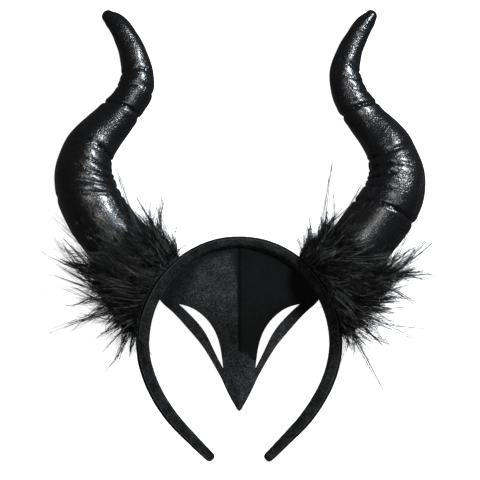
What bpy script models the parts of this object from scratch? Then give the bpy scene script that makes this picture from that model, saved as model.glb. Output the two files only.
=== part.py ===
"""A devil horns headband: a fabric covered band, a felt forehead peak with two slots,
two stuffed horns with thread grooves, and a long pile fur ruff round the foot of each horn.

It lies on its back on the horns. +X runs across, +Y runs up the headband to the tips of
the horns, and +Z points out of its front. Units are metres. The drawing has its origin
midway between the ends of the band's legs, and centre_in_frame then moves the whole.
"""

from math import ceil, cos, degrees, pi, radians, sin

import bmesh
import bpy
import numpy as np
from mathutils import Matrix, Vector

MM = 0.001
GOLDEN_TURN = radians(137.5)

# The band, measured along its centreline
BAND_HALF_WIDTH = 65.8 * MM
BAND_HEIGHT = 146.5 * MM
BAND_THICKNESS = 9.2 * MM
BAND_DEPTH = 13.0 * MM
BAND_SQUARENESS = 3.0
BAND_SIDES = 12
BAND_SPACING = 7.6 * MM

# The horns
HORN_RISE = 189.2 * MM
HORN_RADIUS = 21.4 * MM
HORN_TIP_LIFT = 6.0 * MM
HORN_SINK = 0.6 * MM
HORN_SEAT_ANGLE = radians(32.4)
HORN_SINK_START = 0.25
HORN_REST_START = 0.36
HORN_SIDES = 20
HORN_SPACING = 8.5 * MM
TIP_RINGS = (0.55, 0.22)
GROOVE_DEPTH = 1.3 * MM
GROOVE_WIDTH = 4.4 * MM
WRINKLE_DEPTH = 0.9 * MM
WRINKLE_PITCH = 5.6 * MM
WRINKLE_COUNT = 4

# The fur ruffs
RUFF_HEIGHT = 34.0 * MM
RUFF_PAD = 5.0 * MM
RUFF_BULK = 12.0 * MM
RUFF_RIM = 1.4 * MM
RUFF_FLOOR_GAP = 0.2 * MM
LOCK_LENGTH = 33.0 * MM
LOCK_SLIMNESS = 0.55
LOCK_TIP_SLIMNESS = 0.16
LOCK_SWEEP = 0.9
LOCK_VARIATION = 0.3
LOCK_BEND = 0.4
LOWEST_LOCK = 1.5

# The forehead peak
PEAK_DROP = 110.8 * MM
PEAK_THICKNESS = 2.0 * MM
PEAK_RIDGE = 14.0 * MM
PEAK_SEAT_FORWARD = 1.5 * MM
PEAK_FALL = 1.25

# The band floats above the surface at the height of the horns' feet, and the horns run
# on under their seats until the band's outer edge cuts them off.
BAND_LIFT = HORN_RADIUS + RUFF_PAD
HORN_FOOT_LENGTH = 0.65 * HORN_RADIUS

# Clearances between pieces
SEAT_GAP = 0.35 * MM
FELT_GAP = 0.35 * MM
FELT_EDGE_LEAN = 0.18
LOCK_CLEARANCE = 4.5 * MM

# One leg of the band from its widest place down to its end, as shares of the half width
# and of the height. Above the widest place the centreline is a quarter of an ellipse.
LEG_ROWS = [
    # across, up
    (1.000, 0.515),
    (0.982, 0.450),
    (0.937, 0.376),
    (0.866, 0.302),
    (0.765, 0.227),
    (0.638, 0.153),
    (0.479, 0.079),
    (0.310, 0.004),
]

# The band's section from the end of a leg to the crown, as shares of its thickness and
# of its depth. The legs are padded, and taper to round ends.
BAND_ROWS = [
    # share of the band's length, thickness, depth
    (0.00, 0.74, 0.62),
    (0.04, 0.84, 0.70),
    (0.10, 0.98, 0.84),
    (0.17, 1.00, 0.96),
    (0.30, 0.96, 1.00),
    (0.50, 0.80, 1.00),
]

# The domed end of a leg: how far past the end a ring lies, as a share of half the band's
# thickness, and how much of the end's section it keeps.
DOME_ROWS = [
    # ahead, scale
    (0.25, 0.98),
    (0.72, 0.82),
    (1.00, 0.45),
]

# The axis of a horn from its seat on the band to its tip, as shares of the horn's rise,
# with its girth as a share of the horn's radius.
HORN_ROWS = [
    # out, up, girth
    (0.000, 0.000, 1.000),
    (0.084, 0.097, 1.000),
    (0.155, 0.185, 1.000),
    (0.218, 0.273, 0.995),
    (0.258, 0.349, 0.972),
    (0.271, 0.413, 0.911),
    (0.259, 0.478, 0.816),
    (0.228, 0.537, 0.749),
    (0.171, 0.603, 0.645),
    (0.118, 0.671, 0.584),
    (0.089, 0.729, 0.562),
    (0.082, 0.795, 0.482),
    (0.099, 0.859, 0.422),
    (0.126, 0.918, 0.359),
    (0.150, 0.954, 0.302),
    (0.170, 0.976, 0.222),
    (0.187, 0.992, 0.110),
]

# Thread grooves: the place as a share of the axis, the depth as a share of the groove
# depth, and how much deeper it bites on the side where the horn bends in.
GROOVE_ROWS = [
    # along, depth, inner bite, inner side in degrees
    (0.362, 0.75, 0.30, 180.0),
    (0.505, 0.90, 0.30, 180.0),
    (0.668, 1.00, 0.35, 0.0),
    (0.738, 0.85, 0.45, 0.0),
    (0.792, 0.80, 0.60, 0.0),
]
WRINKLE_START = 0.392

# The wall of a ruff from its lower edge to its upper edge: the place as a share of the
# ruff's height, and the bulk as a share of the ruff's bulk.
RUFF_ROWS = [
    # along, bulk
    (-0.40, 0.95),
    (-0.12, 1.00),
    (0.15, 0.92),
    (0.42, 0.72),
    (0.70, 0.40),
    (1.00, 0.00),
]

# How the bulk and the locks of a ruff change round the horn, from its outer side (0)
# past the front (90) and the inner side (180) to the back (270). Lift is how far the
# locks stand away, and lean is how far they turn along the horn.
RUFF_SIDES = [
    # degrees, bulk, lock length, lift, lean at the lower edge, lean at the upper edge
    (0.0, 1.20, 1.00, 1.00, -0.80, 0.95),
    (90.0, 0.75, 0.72, 0.42, -0.35, 0.60),
    (180.0, 0.66, 0.76, 0.80, 0.80, 1.30),
    (270.0, 0.60, 0.45, 0.40, -0.20, 0.60),
]

# The peak below the corner where it leaves the band: the drop as a share of the whole
# drop, and half widths as shares of the half width at that corner. Where both edges of
# the slot are the same there is no slot.
PEAK_ROWS = [
    # down, outer edge, slot outer edge, slot inner edge
    (0.339, 0.969, 0.780, 0.780),
    (0.358, 0.926, 0.740, 0.639),
    (0.385, 0.859, 0.679, 0.527),
    (0.431, 0.764, 0.585, 0.415),
    (0.480, 0.674, 0.497, 0.335),
    (0.535, 0.575, 0.419, 0.278),
    (0.602, 0.464, 0.350, 0.238),
    (0.676, 0.367, 0.277, 0.214),
    (0.752, 0.278, 0.195, 0.195),
    (0.798, 0.227, 0.159, 0.159),
    (0.847, 0.182, 0.127, 0.127),
    (0.896, 0.132, 0.092, 0.092),
    (0.945, 0.076, 0.053, 0.053),
    (1.000, 0.000, 0.000, 0.000),
]
PEAK_CORNER_DOWN = 0.322
SLOT_COLUMN = 3

# The height of the peak's middle fold, as a share of the ridge.
CREST_ROWS = [
    # down, height
    (0.00, 0.08),
    (0.08, 0.25),
    (0.18, 0.60),
    (0.33, 0.93),
    (0.45, 1.00),
    (0.60, 0.62),
    (0.72, 0.30),
    (0.85, 0.16),
    (1.00, 0.10),
]


def smooth_rows(rows, steps=16):
    """A smooth curve through the rows of a table, whatever its columns are."""
    table = np.array(rows, float)
    first = 2 * table[0] - table[1]
    last = 2 * table[-1] - table[-2]
    table = np.vstack([first, table, last])
    curve = []
    for i in range(1, len(table) - 2):
        a, b, c, d = table[i - 1 : i + 3]
        for t in np.arange(steps) / steps:
            bend = (2 * a - 5 * b + 4 * c - d) * t + (3 * (b - c) + d - a) * t * t
            curve.append(b + 0.5 * t * ((c - a) + bend))
    curve.append(table[-2])
    return np.array(curve)


def lengths_along(points):
    steps = np.linalg.norm(np.diff(points, axis=0), axis=1)
    return np.concatenate([[0.0], np.cumsum(steps)])


def read_curve(curve, at, place):
    """The curve's columns at one place, where at holds the place of each row."""
    return np.array([np.interp(place, at, column) for column in curve.T])


def smooth_step(low, high, value):
    t = min(max((value - low) / (high - low), 0.0), 1.0)
    return t * t * (3 - 2 * t)


def side_values(degrees_round):
    """The columns of RUFF_SIDES after the first, read smoothly round the horn."""
    values = np.zeros(len(RUFF_SIDES[0]) - 1)
    for row in RUFF_SIDES:
        near = cos(radians(degrees_round - row[0]))
        values += np.array(row[1:]) * max(near, 0.0) ** 2
    return values


# The centreline of the band

def band_centreline():
    """Points from the end of the left leg over the crown to the end of the right leg."""
    widest_up = LEG_ROWS[0][1]
    arch_height = (1 - widest_up) * BAND_HEIGHT
    turns = np.linspace(0, pi / 2, 60)
    arch = [
        (BAND_HALF_WIDTH * sin(turn), widest_up * BAND_HEIGHT + arch_height * cos(turn))
        for turn in turns
    ]
    leg = smooth_rows(LEG_ROWS) * (BAND_HALF_WIDTH, BAND_HEIGHT)
    right = np.vstack([arch, leg[1:]])
    left = right[:0:-1] * (-1, 1)
    return np.vstack([left, right])


def band_stations():
    """Evenly spaced centreline points with their outward normals. Their number is even,
    so the crown lies in the middle of one straight facet."""
    line = band_centreline()
    at = lengths_along(line)
    count = 2 * ceil(at[-1] / BAND_SPACING / 2)
    stations = []
    for place in np.linspace(0, at[-1], count):
        point = read_curve(line, at, place)
        ahead = read_curve(line, at, min(place + MM, at[-1]))
        behind = read_curve(line, at, max(place - MM, 0))
        along = (ahead - behind) / np.linalg.norm(ahead - behind)
        normal = np.array([-along[1], along[0]])
        stations.append((place / at[-1], point, along, normal))
    return stations


def band_section(share):
    """Half the thickness and half the depth at a share of the band's length."""
    rows = smooth_rows(BAND_ROWS)
    _, thickness, depth = read_curve(rows, rows[:, 0], min(share, 1 - share))
    return thickness * BAND_THICKNESS / 2, depth * BAND_DEPTH / 2


def band_outline(offset):
    """The band's edge line moved out by offset, negative for the inner edge."""
    outline = []
    for share, point, _, normal in band_stations():
        half, _ = band_section(share)
        reach = half + abs(offset)
        outline.append(point + normal * (reach if offset > 0 else -reach))
    return np.array(outline)


# Mesh helpers

def new_object(name, bm, color, roughness, collection):
    """An object made from a bmesh, with a material of its own."""
    bmesh.ops.recalc_face_normals(bm, faces=bm.faces)
    mesh = bpy.data.meshes.new(name)
    bm.to_mesh(mesh)
    bm.free()
    mesh.shade_smooth()
    mesh.set_sharp_from_angle(angle=radians(50))
    obj = bpy.data.objects.new(name, mesh)
    collection.objects.link(obj)
    material = bpy.data.materials.new(name)
    material.use_nodes = True
    surface = material.node_tree.nodes["Principled BSDF"]
    surface.inputs["Base Color"].default_value = (*color, 1)
    surface.inputs["Roughness"].default_value = roughness
    surface.inputs["Metallic"].default_value = 0
    mesh.materials.append(material)
    return obj


def skin_rings(bm, rings):
    """Quads between rings of equal length. It returns the rows of new vertices."""
    rows = [[bm.verts.new(point) for point in ring] for ring in rings]
    for low, high in zip(rows, rows[1:]):
        for k in range(len(low)):
            after = (k + 1) % len(low)
            bm.faces.new((low[k], low[after], high[after], high[k]))
    return rows


def flip_side(bm, side):
    """Turns the right hand piece into the left hand one where side is -1."""
    if side < 0:
        bmesh.ops.transform(bm, matrix=Matrix.Diagonal((-1, 1, 1, 1)), verts=bm.verts)
        bmesh.ops.reverse_faces(bm, faces=bm.faces)


# The headband

def make_band(collection):
    """A covered band of rounded square section with domed leg ends."""
    rings = []
    stations = band_stations()
    for share, point, _, normal in stations:
        half, depth = band_section(share)
        rings.append(band_ring(point, normal, half, depth))
    for ahead, scale in DOME_ROWS:
        for end, facing in ((0, -1), (-1, 1)):
            share, point, along, normal = stations[end]
            half, depth = band_section(share)
            tip = point + along * facing * half * ahead
            ring = band_ring(tip, normal, half * scale, depth * scale)
            if end == 0:
                rings.insert(0, ring)
            else:
                rings.append(ring)
    bm = bmesh.new()
    rows = skin_rings(bm, rings)
    bm.faces.new(rows[0])
    bm.faces.new(rows[-1])
    return new_object("headband", bm, (0.012, 0.012, 0.013), 0.85, collection)


def band_ring(point, normal, half, depth):
    """A rounded square. Its front half carries the felt, and its back half is the seat
    for the head."""
    ring = []
    for k in range(BAND_SIDES):
        turn = 2 * pi * k / BAND_SIDES
        across = round_square(cos(turn)) * half
        up = round_square(sin(turn)) * depth
        ring.append((*(point + normal * across), BAND_LIFT + up))
    return ring


def round_square(value):
    return np.sign(value) * abs(value) ** (2 / BAND_SQUARENESS)


def make_envelope(collection):
    """The space inside the band's outer edge, which the horns and the ruffs are cut to."""
    outline = band_outline(SEAT_GAP)
    tall = 4 * HORN_RADIUS + LOCK_LENGTH
    bm = bmesh.new()
    face = bm.faces.new([bm.verts.new((x, y, -HORN_RADIUS)) for x, y in outline])
    grown = bmesh.ops.extrude_face_region(bm, geom=[face])
    tops = [item for item in grown["geom"] if isinstance(item, bmesh.types.BMVert)]
    bmesh.ops.translate(bm, vec=(0, 0, HORN_RADIUS + tall), verts=tops)
    cutter = new_object("band_envelope", bm, (0.5, 0.5, 0.5), 0.5, collection)
    cutter.hide_render = True
    cutter.display_type = "WIRE"
    return cutter


# The horns

def horn_axis():
    """The horn's axis in 3D with its radius, from its seat on the band to its tip."""
    widest_up = LEG_ROWS[0][1]
    seat_x = BAND_HALF_WIDTH * cos(HORN_SEAT_ANGLE)
    seat_y = (widest_up + (1 - widest_up) * sin(HORN_SEAT_ANGLE)) * BAND_HEIGHT
    rows = smooth_rows(HORN_ROWS)
    at = lengths_along(rows[:, :2])
    share = at / at[-1]
    axis = []
    for (out, up, girth), along in zip(rows, share):
        radius = girth * HORN_RADIUS
        pad = RUFF_PAD * (1 - smooth_step(0.0, HORN_REST_START, along))
        sunk = HORN_SINK * smooth_step(HORN_SINK_START, HORN_REST_START, along)
        lift = max(radius + pad - sunk, HORN_TIP_LIFT)
        axis.append((seat_x + out * HORN_RISE, seat_y + up * HORN_RISE, lift, radius))
    return np.array(axis)


def horn_frame(axis, at, place):
    """Centre, radius, direction, outer side and front of the horn at a place along it.
    Places below zero carry straight on under the seat."""
    inside = min(max(place, 0.0), at[-1])
    x, y, z, radius = read_curve(axis, at, inside)
    ahead = read_curve(axis, at, min(inside + MM, at[-1]))
    behind = read_curve(axis, at, max(inside - MM, 0.0))
    along = Vector(ahead[:3] - behind[:3]).normalized()
    centre = Vector((x, y, z)) + along * min(place, 0.0)
    side = along.cross(Vector((0, 0, 1))).normalized()
    front = side.cross(along)
    return centre, radius, along, side, front


def horn_dent(place, total, turn):
    """How far the thread grooves and the gathers press the horn in."""
    dent = 0.0
    for along, depth, bite, inner in GROOVE_ROWS:
        off = abs(place - along * total) / (GROOVE_WIDTH / 2)
        if off < 1:
            deeper = 1 + bite * cos(turn - radians(inner))
            dent += GROOVE_DEPTH * depth * deeper * (1 - off) ** 1.5
    for k in range(WRINKLE_COUNT):
        off = abs(place - WRINKLE_START * total - k * WRINKLE_PITCH) / (WRINKLE_PITCH / 2)
        if off < 1:
            inner = max(-cos(turn), 0.0) ** 2
            dent += WRINKLE_DEPTH * inner * (1 - off)
    return dent


def horn_stations(total):
    """Places of the horn's rings: even ones, and those that the folds and the tip need."""
    folds = []
    for along, *_ in GROOVE_ROWS:
        middle = along * total
        folds += [middle - GROOVE_WIDTH / 2, middle, middle + GROOVE_WIDTH / 2]
    for k in range(WRINKLE_COUNT):
        middle = WRINKLE_START * total + k * WRINKLE_PITCH
        folds += [middle, middle + WRINKLE_PITCH / 2]
    closest = 0.45 * GROOVE_WIDTH
    tip = total - HORN_SPACING * np.array(TIP_RINGS)
    even = np.linspace(-HORN_FOOT_LENGTH, total, ceil(total / HORN_SPACING) + 2)
    kept = [place for place in even if min(abs(place - fold) for fold in folds) > closest]
    return sorted(folds + kept + list(tip))


def horn_ring(axis, at, place, grow=0.0, dented=True):
    centre, radius, _, side, front = horn_frame(axis, at, place)
    ring = []
    for k in range(HORN_SIDES):
        turn = 2 * pi * (k + 0.5) / HORN_SIDES
        reach = radius + grow - (horn_dent(place, at[-1], turn) if dented else 0.0)
        point = centre + (side * cos(turn) + front * sin(turn)) * reach
        point.z = max(point.z, 0.0)
        ring.append(point)
    return ring


def make_horn(name, side, collection, envelope):
    """A stuffed horn, flat where it rests and cut to the band at its foot."""
    axis = horn_axis()
    at = lengths_along(axis[:, :3])
    rings = [horn_ring(axis, at, place) for place in horn_stations(at[-1])]
    bm = bmesh.new()
    rows = skin_rings(bm, rings)
    bm.faces.new(rows[0])
    bm.faces.new(rows[-1])
    flip_side(bm, side)
    horn = new_object(name, bm, (0.014, 0.014, 0.016), 0.3, collection)
    cut_to_band(horn, envelope)
    return horn


def cut_to_band(obj, envelope):
    cut = obj.modifiers.new("foot on the band", "BOOLEAN")
    cut.operation = "DIFFERENCE"
    cut.solver = "EXACT"
    cut.object = envelope


# The fur ruffs

def ruff_ring(axis, at, share, bulk):
    """One ring of the ruff's outer wall, pressed flat where the ruff meets the floor."""
    centre, radius, _, side, front = horn_frame(axis, at, share * RUFF_HEIGHT)
    ring = []
    for k in range(HORN_SIDES):
        turn = 2 * pi * (k + 0.5) / HORN_SIDES
        thick = RUFF_RIM + bulk * RUFF_BULK * side_values(degrees(turn))[0]
        reach = radius + SEAT_GAP + thick
        point = centre + (side * cos(turn) + front * sin(turn)) * reach
        point.z = max(point.z, 0.0)
        ring.append(point)
    return ring


def beside_band(point, edge):
    """Whether a point on the right lies clear outside the band's outer edge line."""
    line_x = np.interp(-point.y, -edge[:, 1], edge[:, 0], left=0.0)
    return point.x > line_x + LOCK_CLEARANCE


def grow_lock(bm, face, base, middle, tip):
    """Pulls one face out into a lock of fur that ends in a small blunt tip."""
    for offset, slim in ((middle, LOCK_SLIMNESS), (tip, LOCK_TIP_SLIMNESS)):
        new = bmesh.ops.extrude_discrete_faces(bm, faces=[face])["faces"][0]
        centre = new.calc_center_median()
        for vert in new.verts:
            vert.co = base + offset + (vert.co - centre) * slim
            vert.co.z = max(vert.co.z, RUFF_FLOOR_GAP)
        face = new


def make_ruff(name, side_sign, collection, envelope):
    """A collar of backing round the horn's foot, with locks of fur drawn out of it."""
    axis = horn_axis()
    at = lengths_along(axis[:, :3])
    outer = [ruff_ring(axis, at, share, bulk) for share, bulk in RUFF_ROWS]
    inner = [
        horn_ring(axis, at, share * RUFF_HEIGHT, grow=SEAT_GAP, dented=False)
        for share, _ in RUFF_ROWS
    ]
    bm = bmesh.new()
    rows = skin_rings(bm, outer + inner[::-1] + [outer[0]])
    bmesh.ops.remove_doubles(bm, verts=bm.verts, dist=0.01 * MM)
    bm.faces.ensure_lookup_table()
    bmesh.ops.recalc_face_normals(bm, faces=bm.faces)
    edge = band_outline(SEAT_GAP)
    edge = edge[edge[:, 0] > 0]
    locks = []
    for ring in range(len(outer) - 1):
        for k in range(ring % 2, HORN_SIDES, 2):
            locks.append((ring, k, bm.faces[ring * HORN_SIDES + k]))
    for ring, k, face in locks:
        share = (RUFF_ROWS[ring][0] + RUFF_ROWS[ring + 1][0]) / 2
        turn = 2 * pi * (k + 1) / HORN_SIDES
        _, _, along, side, front = horn_frame(axis, at, share * RUFF_HEIGHT)
        away = side * cos(turn) + front * sin(turn)
        base = face.calc_center_median()
        if base.z < LOWEST_LOCK * RUFF_PAD:
            continue
        rise = smooth_step(RUFF_ROWS[0][0], 1.0, share)
        _, full_length, lift, low_lean, high_lean = side_values(degrees(turn))
        lean = low_lean + (high_lean - low_lean) * rise
        sweep = side * max(sin(turn), 0.0) * LOCK_SWEEP
        heading = (away * lift + along * lean + sweep).normalized()
        uneven = 1 + LOCK_VARIATION * sin(GOLDEN_TURN * (k + HORN_SIDES * ring)) / 2
        length = LOCK_LENGTH * full_length * uneven
        middle = (away + heading).normalized() * length * LOCK_BEND
        tip = middle + heading * length * (1 - LOCK_BEND)
        tip.z = max(tip.z, RUFF_PAD - base.z)
        if all(beside_band(base + offset, edge) for offset in (Vector(), middle, tip)):
            grow_lock(bm, face, base, middle, tip)
    flip_side(bm, side_sign)
    ruff = new_object(name, bm, (0.010, 0.010, 0.010), 0.75, collection)
    cut_to_band(ruff, envelope)
    return ruff


# The forehead peak

def peak_grid():
    """Rows of points on the peak's right half, each from the middle fold to the outer
    edge. Two columns follow the slot's edges."""
    outline = band_outline(-FELT_GAP - FELT_EDGE_LEAN * PEAK_THICKNESS)
    right = outline[outline[:, 0] > 0]
    right = right[: np.argmax(right[:, 0]) + 1]
    crown_y = right[0, 1]
    corner_y = crown_y - PEAK_CORNER_DOWN * PEAK_DROP
    corner_x = np.interp(-corner_y, -right[:, 1], right[:, 0])
    first_slot = PEAK_ROWS[0][2] / PEAK_ROWS[0][1]
    rows = []
    seated = right[right[:, 1] > corner_y + PEAK_THICKNESS]
    for x, y in [*seated, (corner_x, corner_y)]:
        rows.append((y, x, x * first_slot, x * first_slot))
    for down, edge, slot_out, slot_in in PEAK_ROWS:
        y = crown_y - down * PEAK_DROP
        rows.append((y, edge * corner_x, slot_out * corner_x, slot_in * corner_x))
    crest = smooth_rows(CREST_ROWS)
    grid = []
    for y, edge, slot_out, slot_in in rows:
        down = (crown_y - y) / PEAK_DROP
        height = PEAK_RIDGE * np.interp(down, crest[:, 0], crest[:, 1])
        columns = [0, slot_in / 3, slot_in * 2 / 3, slot_in, slot_out]
        columns += [(slot_out + edge) / 2, edge]
        row = []
        for x in columns:
            share = x / edge if edge > 0 else 0.0
            z = BAND_LIFT + PEAK_SEAT_FORWARD + height * (1 - share) ** PEAK_FALL
            row.append((x, y, z))
        grid.append(row)
    return grid


def make_peak(collection):
    """A felt sheet with a middle fold, cut through by two slots."""
    bm = bmesh.new()
    grid = [[bm.verts.new(point) for point in row] for row in peak_grid()]
    for high, low in zip(grid, grid[1:]):
        for k in range(len(high) - 1):
            if k != SLOT_COLUMN:
                bm.faces.new((high[k], low[k], low[k + 1], high[k + 1]))
    bmesh.ops.remove_doubles(bm, verts=bm.verts, dist=0.01 * MM)
    peak = new_object("forehead_peak", bm, (0.016, 0.016, 0.018), 0.95, collection)
    mirror = peak.modifiers.new("other half", "MIRROR")
    mirror.merge_threshold = 0.05 * MM
    wall = peak.modifiers.new("felt", "SOLIDIFY")
    wall.thickness = PEAK_THICKNESS
    wall.offset = 0
    return peak


def centre_in_frame(objects, root):
    """Moves the whole so that the middle of its length lies at Y zero."""
    bpy.context.view_layer.update()
    graph = bpy.context.evaluated_depsgraph_get()
    heights = []
    for obj in objects:
        solid = obj.evaluated_get(graph)
        heights += [(solid.matrix_world @ Vector(corner)).y for corner in solid.bound_box]
    root.location.y = -(min(heights) + max(heights)) / 2


def build():
    for old in list(bpy.data.objects):
        bpy.data.objects.remove(old, do_unlink=True)
    parts = bpy.data.collections.new("devil_horns_headband")
    cutters = bpy.data.collections.new("cutters")
    for collection in (parts, cutters):
        bpy.context.scene.collection.children.link(collection)
    root = bpy.data.objects.new("headband_root", None)
    parts.objects.link(root)
    envelope = make_envelope(cutters)
    pieces = [make_band(parts), make_peak(parts)]
    for name, side in (("left", -1), ("right", 1)):
        pieces.append(make_horn("horn_" + name, side, parts, envelope))
        pieces.append(make_ruff("fur_ruff_" + name, side, parts, envelope))
    for obj in pieces + [envelope]:
        obj.parent = root
    centre_in_frame(pieces, root)


build()
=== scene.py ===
# %% [markdown]
# # A devil horns headband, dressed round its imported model
#
# The frame holds plain solids: a band, a felt peak, two horns and two fur ruffs. They lie
# on their back on the floor, and the camera hangs straight above them. Each step makes one
# piece, puts it where its plain solid is, and hands it to the frame. The units are metres,
# +X runs across the headband, +Y up to the tips of the horns and +Z out of its front.

from functools import partial
from math import cos, pi, radians, sin

import bmesh
import bpy
import numpy as np
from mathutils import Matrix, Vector


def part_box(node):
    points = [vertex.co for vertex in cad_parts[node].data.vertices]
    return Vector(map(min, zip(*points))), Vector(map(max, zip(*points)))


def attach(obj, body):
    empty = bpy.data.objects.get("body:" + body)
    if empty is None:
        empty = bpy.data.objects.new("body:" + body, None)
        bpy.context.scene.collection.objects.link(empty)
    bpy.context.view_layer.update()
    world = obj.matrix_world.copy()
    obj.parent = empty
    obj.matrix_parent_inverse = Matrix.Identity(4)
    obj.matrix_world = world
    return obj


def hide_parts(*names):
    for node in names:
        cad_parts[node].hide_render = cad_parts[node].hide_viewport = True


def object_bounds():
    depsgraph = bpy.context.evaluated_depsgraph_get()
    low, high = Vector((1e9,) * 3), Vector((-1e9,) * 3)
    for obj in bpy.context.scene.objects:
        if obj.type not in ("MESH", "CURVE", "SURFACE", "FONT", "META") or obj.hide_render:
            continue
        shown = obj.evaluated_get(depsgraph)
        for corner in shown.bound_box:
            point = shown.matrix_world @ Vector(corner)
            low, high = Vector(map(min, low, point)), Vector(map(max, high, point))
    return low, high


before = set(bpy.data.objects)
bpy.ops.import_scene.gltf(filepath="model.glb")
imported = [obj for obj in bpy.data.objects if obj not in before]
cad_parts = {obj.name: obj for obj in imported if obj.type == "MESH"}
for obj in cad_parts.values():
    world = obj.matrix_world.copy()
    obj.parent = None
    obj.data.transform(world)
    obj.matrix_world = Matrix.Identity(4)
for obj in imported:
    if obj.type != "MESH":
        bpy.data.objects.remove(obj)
scene = bpy.context.scene
cad_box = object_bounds()
MM = 0.001
print("frame", [round(side / MM, 1) for side in cad_box[1] - cad_box[0]], "mm")

# %% [markdown]
# A soft thing has few straight lines. Its pieces are drawn as short tables, a row for each
# section, and a smooth curve is laid through the rows.

# %% Smooth curves through short tables
def smooth_rows(rows, steps=16):
    """A smooth curve through the rows of a table, whatever its columns are."""
    table = np.array(rows, float)
    table = np.vstack([2 * table[0] - table[1], table, 2 * table[-1] - table[-2]])
    curve = []
    for i in range(1, len(table) - 2):
        a, b, c, d = table[i - 1 : i + 3]
        for t in np.arange(steps) / steps:
            bend = (2 * a - 5 * b + 4 * c - d) * t + (3 * (b - c) + d - a) * t * t
            curve.append(b + 0.5 * t * ((c - a) + bend))
    curve.append(table[-2])
    return np.array(curve)


def lengths_along(points):
    steps = np.linalg.norm(np.diff(points, axis=0), axis=1)
    return np.concatenate([[0.0], np.cumsum(steps)])


def read_curve(curve, at, place):
    """The curve's columns at a place, where at holds the place of each row."""
    return np.array([np.interp(place, at, column) for column in curve.T])


def smooth_step(low, high, value):
    t = np.clip((value - low) / (high - low), 0.0, 1.0)
    return t * t * (3 - 2 * t)


def dip(distance, width):
    """A crease with a sharp bottom: 1 on its line, and nearly 0 three widths away."""
    return np.exp(-np.abs(distance) / width)


def bell(distance, width):
    """A rounded rise: 1 on its line, and nearly 0 two widths away."""
    return np.exp(-((distance / width) ** 2))


# %% Meshes from rings of points
def new_object(name, data):
    obj = bpy.data.objects.new(name, data)
    scene.collection.objects.link(obj)
    return obj


def mesh_object(name, points, faces):
    """A smooth shaded object whose faces all point out."""
    mesh = bpy.data.meshes.new(name)
    mesh.from_pydata([tuple(p) for p in points], [], faces)
    bm = bmesh.new()
    bm.from_mesh(mesh)
    bmesh.ops.remove_doubles(bm, verts=bm.verts, dist=0.001 * MM)
    bmesh.ops.recalc_face_normals(bm, faces=bm.faces)
    bm.to_mesh(mesh)
    bm.free()
    mesh.shade_smooth()
    return new_object(name, mesh)


def store_values(mesh, name, values):
    """Stores one value for each vertex."""
    mesh.attributes.new(name, "FLOAT", "POINT").data.foreach_set("value", values)


def wear(obj, material):
    obj.data.materials.clear()
    obj.data.materials.append(material)


def ring_faces(rings, sides, closed=True):
    """Quads between neighbouring rings, whose points are numbered ring after ring."""
    faces = []
    for low in range(0, (rings - 1) * sides, sides):
        for k in range(sides if closed else sides - 1):
            after = (k + 1) % sides
            faces.append((low + k, low + after, low + sides + after, low + sides + k))
    return faces


def skin(name, rings):
    """A closed skin over rings of points, with both ends filled."""
    sides = len(rings[0])
    last = (len(rings) - 1) * sides
    faces = ring_faces(len(rings), sides)
    faces += [tuple(range(sides)), tuple(range(last, last + sides))]
    return mesh_object(name, np.concatenate(rings), faces)


def plain_mesh(obj):
    """Turns an object with modifiers into a plain mesh."""
    bpy.context.view_layer.update()
    graph = bpy.context.evaluated_depsgraph_get()
    mesh = bpy.data.meshes.new_from_object(obj.evaluated_get(graph))
    obj.modifiers.clear()
    obj.data = mesh
    return obj


def triangles(obj):
    return sum(len(face.vertices) - 2 for face in obj.data.polygons)


# %% [markdown]
# ## Materials
#
# Everything on this piece is black, so the finishes differ by gloss and grain alone. Small
# helpers add the nodes, and each finish gets a short function of its own. All of them but
# the fur read Object coordinates, so the grain keeps its real size.

# %% Helpers for node trees
def node(tree, kind, inputs=(), **settings):
    """A new node. Inputs maps a socket's name or number to a value or to a socket."""
    made = tree.nodes.new(kind)
    for name, value in settings.items():
        setattr(made, name, value)
    for name, value in dict(inputs).items():
        if isinstance(value, bpy.types.NodeSocket):
            tree.links.new(value, made.inputs[name])
        else:
            made.inputs[name].default_value = value
    return made


def maths(operation, a, b=0.0):
    """One step of arithmetic, in the tree that socket a is in."""
    return node(a.id_data, "ShaderNodeMath", {0: a, 1: b}, operation=operation).outputs[0]


def vectors(operation, a, b):
    second = "Scale" if operation == "SCALE" else 1
    made = node(a.id_data, "ShaderNodeVectorMath", {0: a, second: b}, operation=operation)
    return made.outputs["Value" if operation == "DOT_PRODUCT" else "Vector"]


times = partial(maths, "MULTIPLY")
plus = partial(maths, "ADD")
scaled = partial(vectors, "SCALE")


def mixed(kind, share, a, b):
    """Mixes two values, vectors or colours."""
    out = ("FLOAT", "VECTOR", "RGBA").index(kind)
    sockets = {0: share, 2 * out + 2: a, 2 * out + 3: b}
    return node(a.id_data, "ShaderNodeMix", sockets, data_type=kind).outputs[out]


def noise(place, size, detail=2.0, roughness=0.5):
    """Smooth noise of about size metres."""
    sockets = {"Vector": place, "Scale": 1 / size, "Detail": detail, "Roughness": roughness}
    return node(place.id_data, "ShaderNodeTexNoise", sockets).outputs["Fac"]


def tones(value, stops):
    """A colour ramp from (place, grey, blue tint) stops."""
    ramp = node(value.id_data, "ShaderNodeValToRGB", {"Fac": value})
    entries = ramp.color_ramp.elements
    while len(entries) < len(stops):
        entries.new(0.5)
    for entry, (at, grey, tint) in zip(entries, stops):
        entry.position = at
        entry.color = (grey, grey, grey * tint, 1)
    return ramp.outputs["Color"]


# %% Helpers for surfaces
def new_material(name, **constants):
    """A material, its Principled surface and its Object coordinates."""
    material = bpy.data.materials.new(name)
    material.use_nodes = True
    surface = material.node_tree.nodes["Principled BSDF"]
    for socket, value in constants.items():
        surface.inputs[socket.replace("_", " ")].default_value = value
    return material, surface, node(surface.id_data, "ShaderNodeTexCoord").outputs["Object"]


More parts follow.
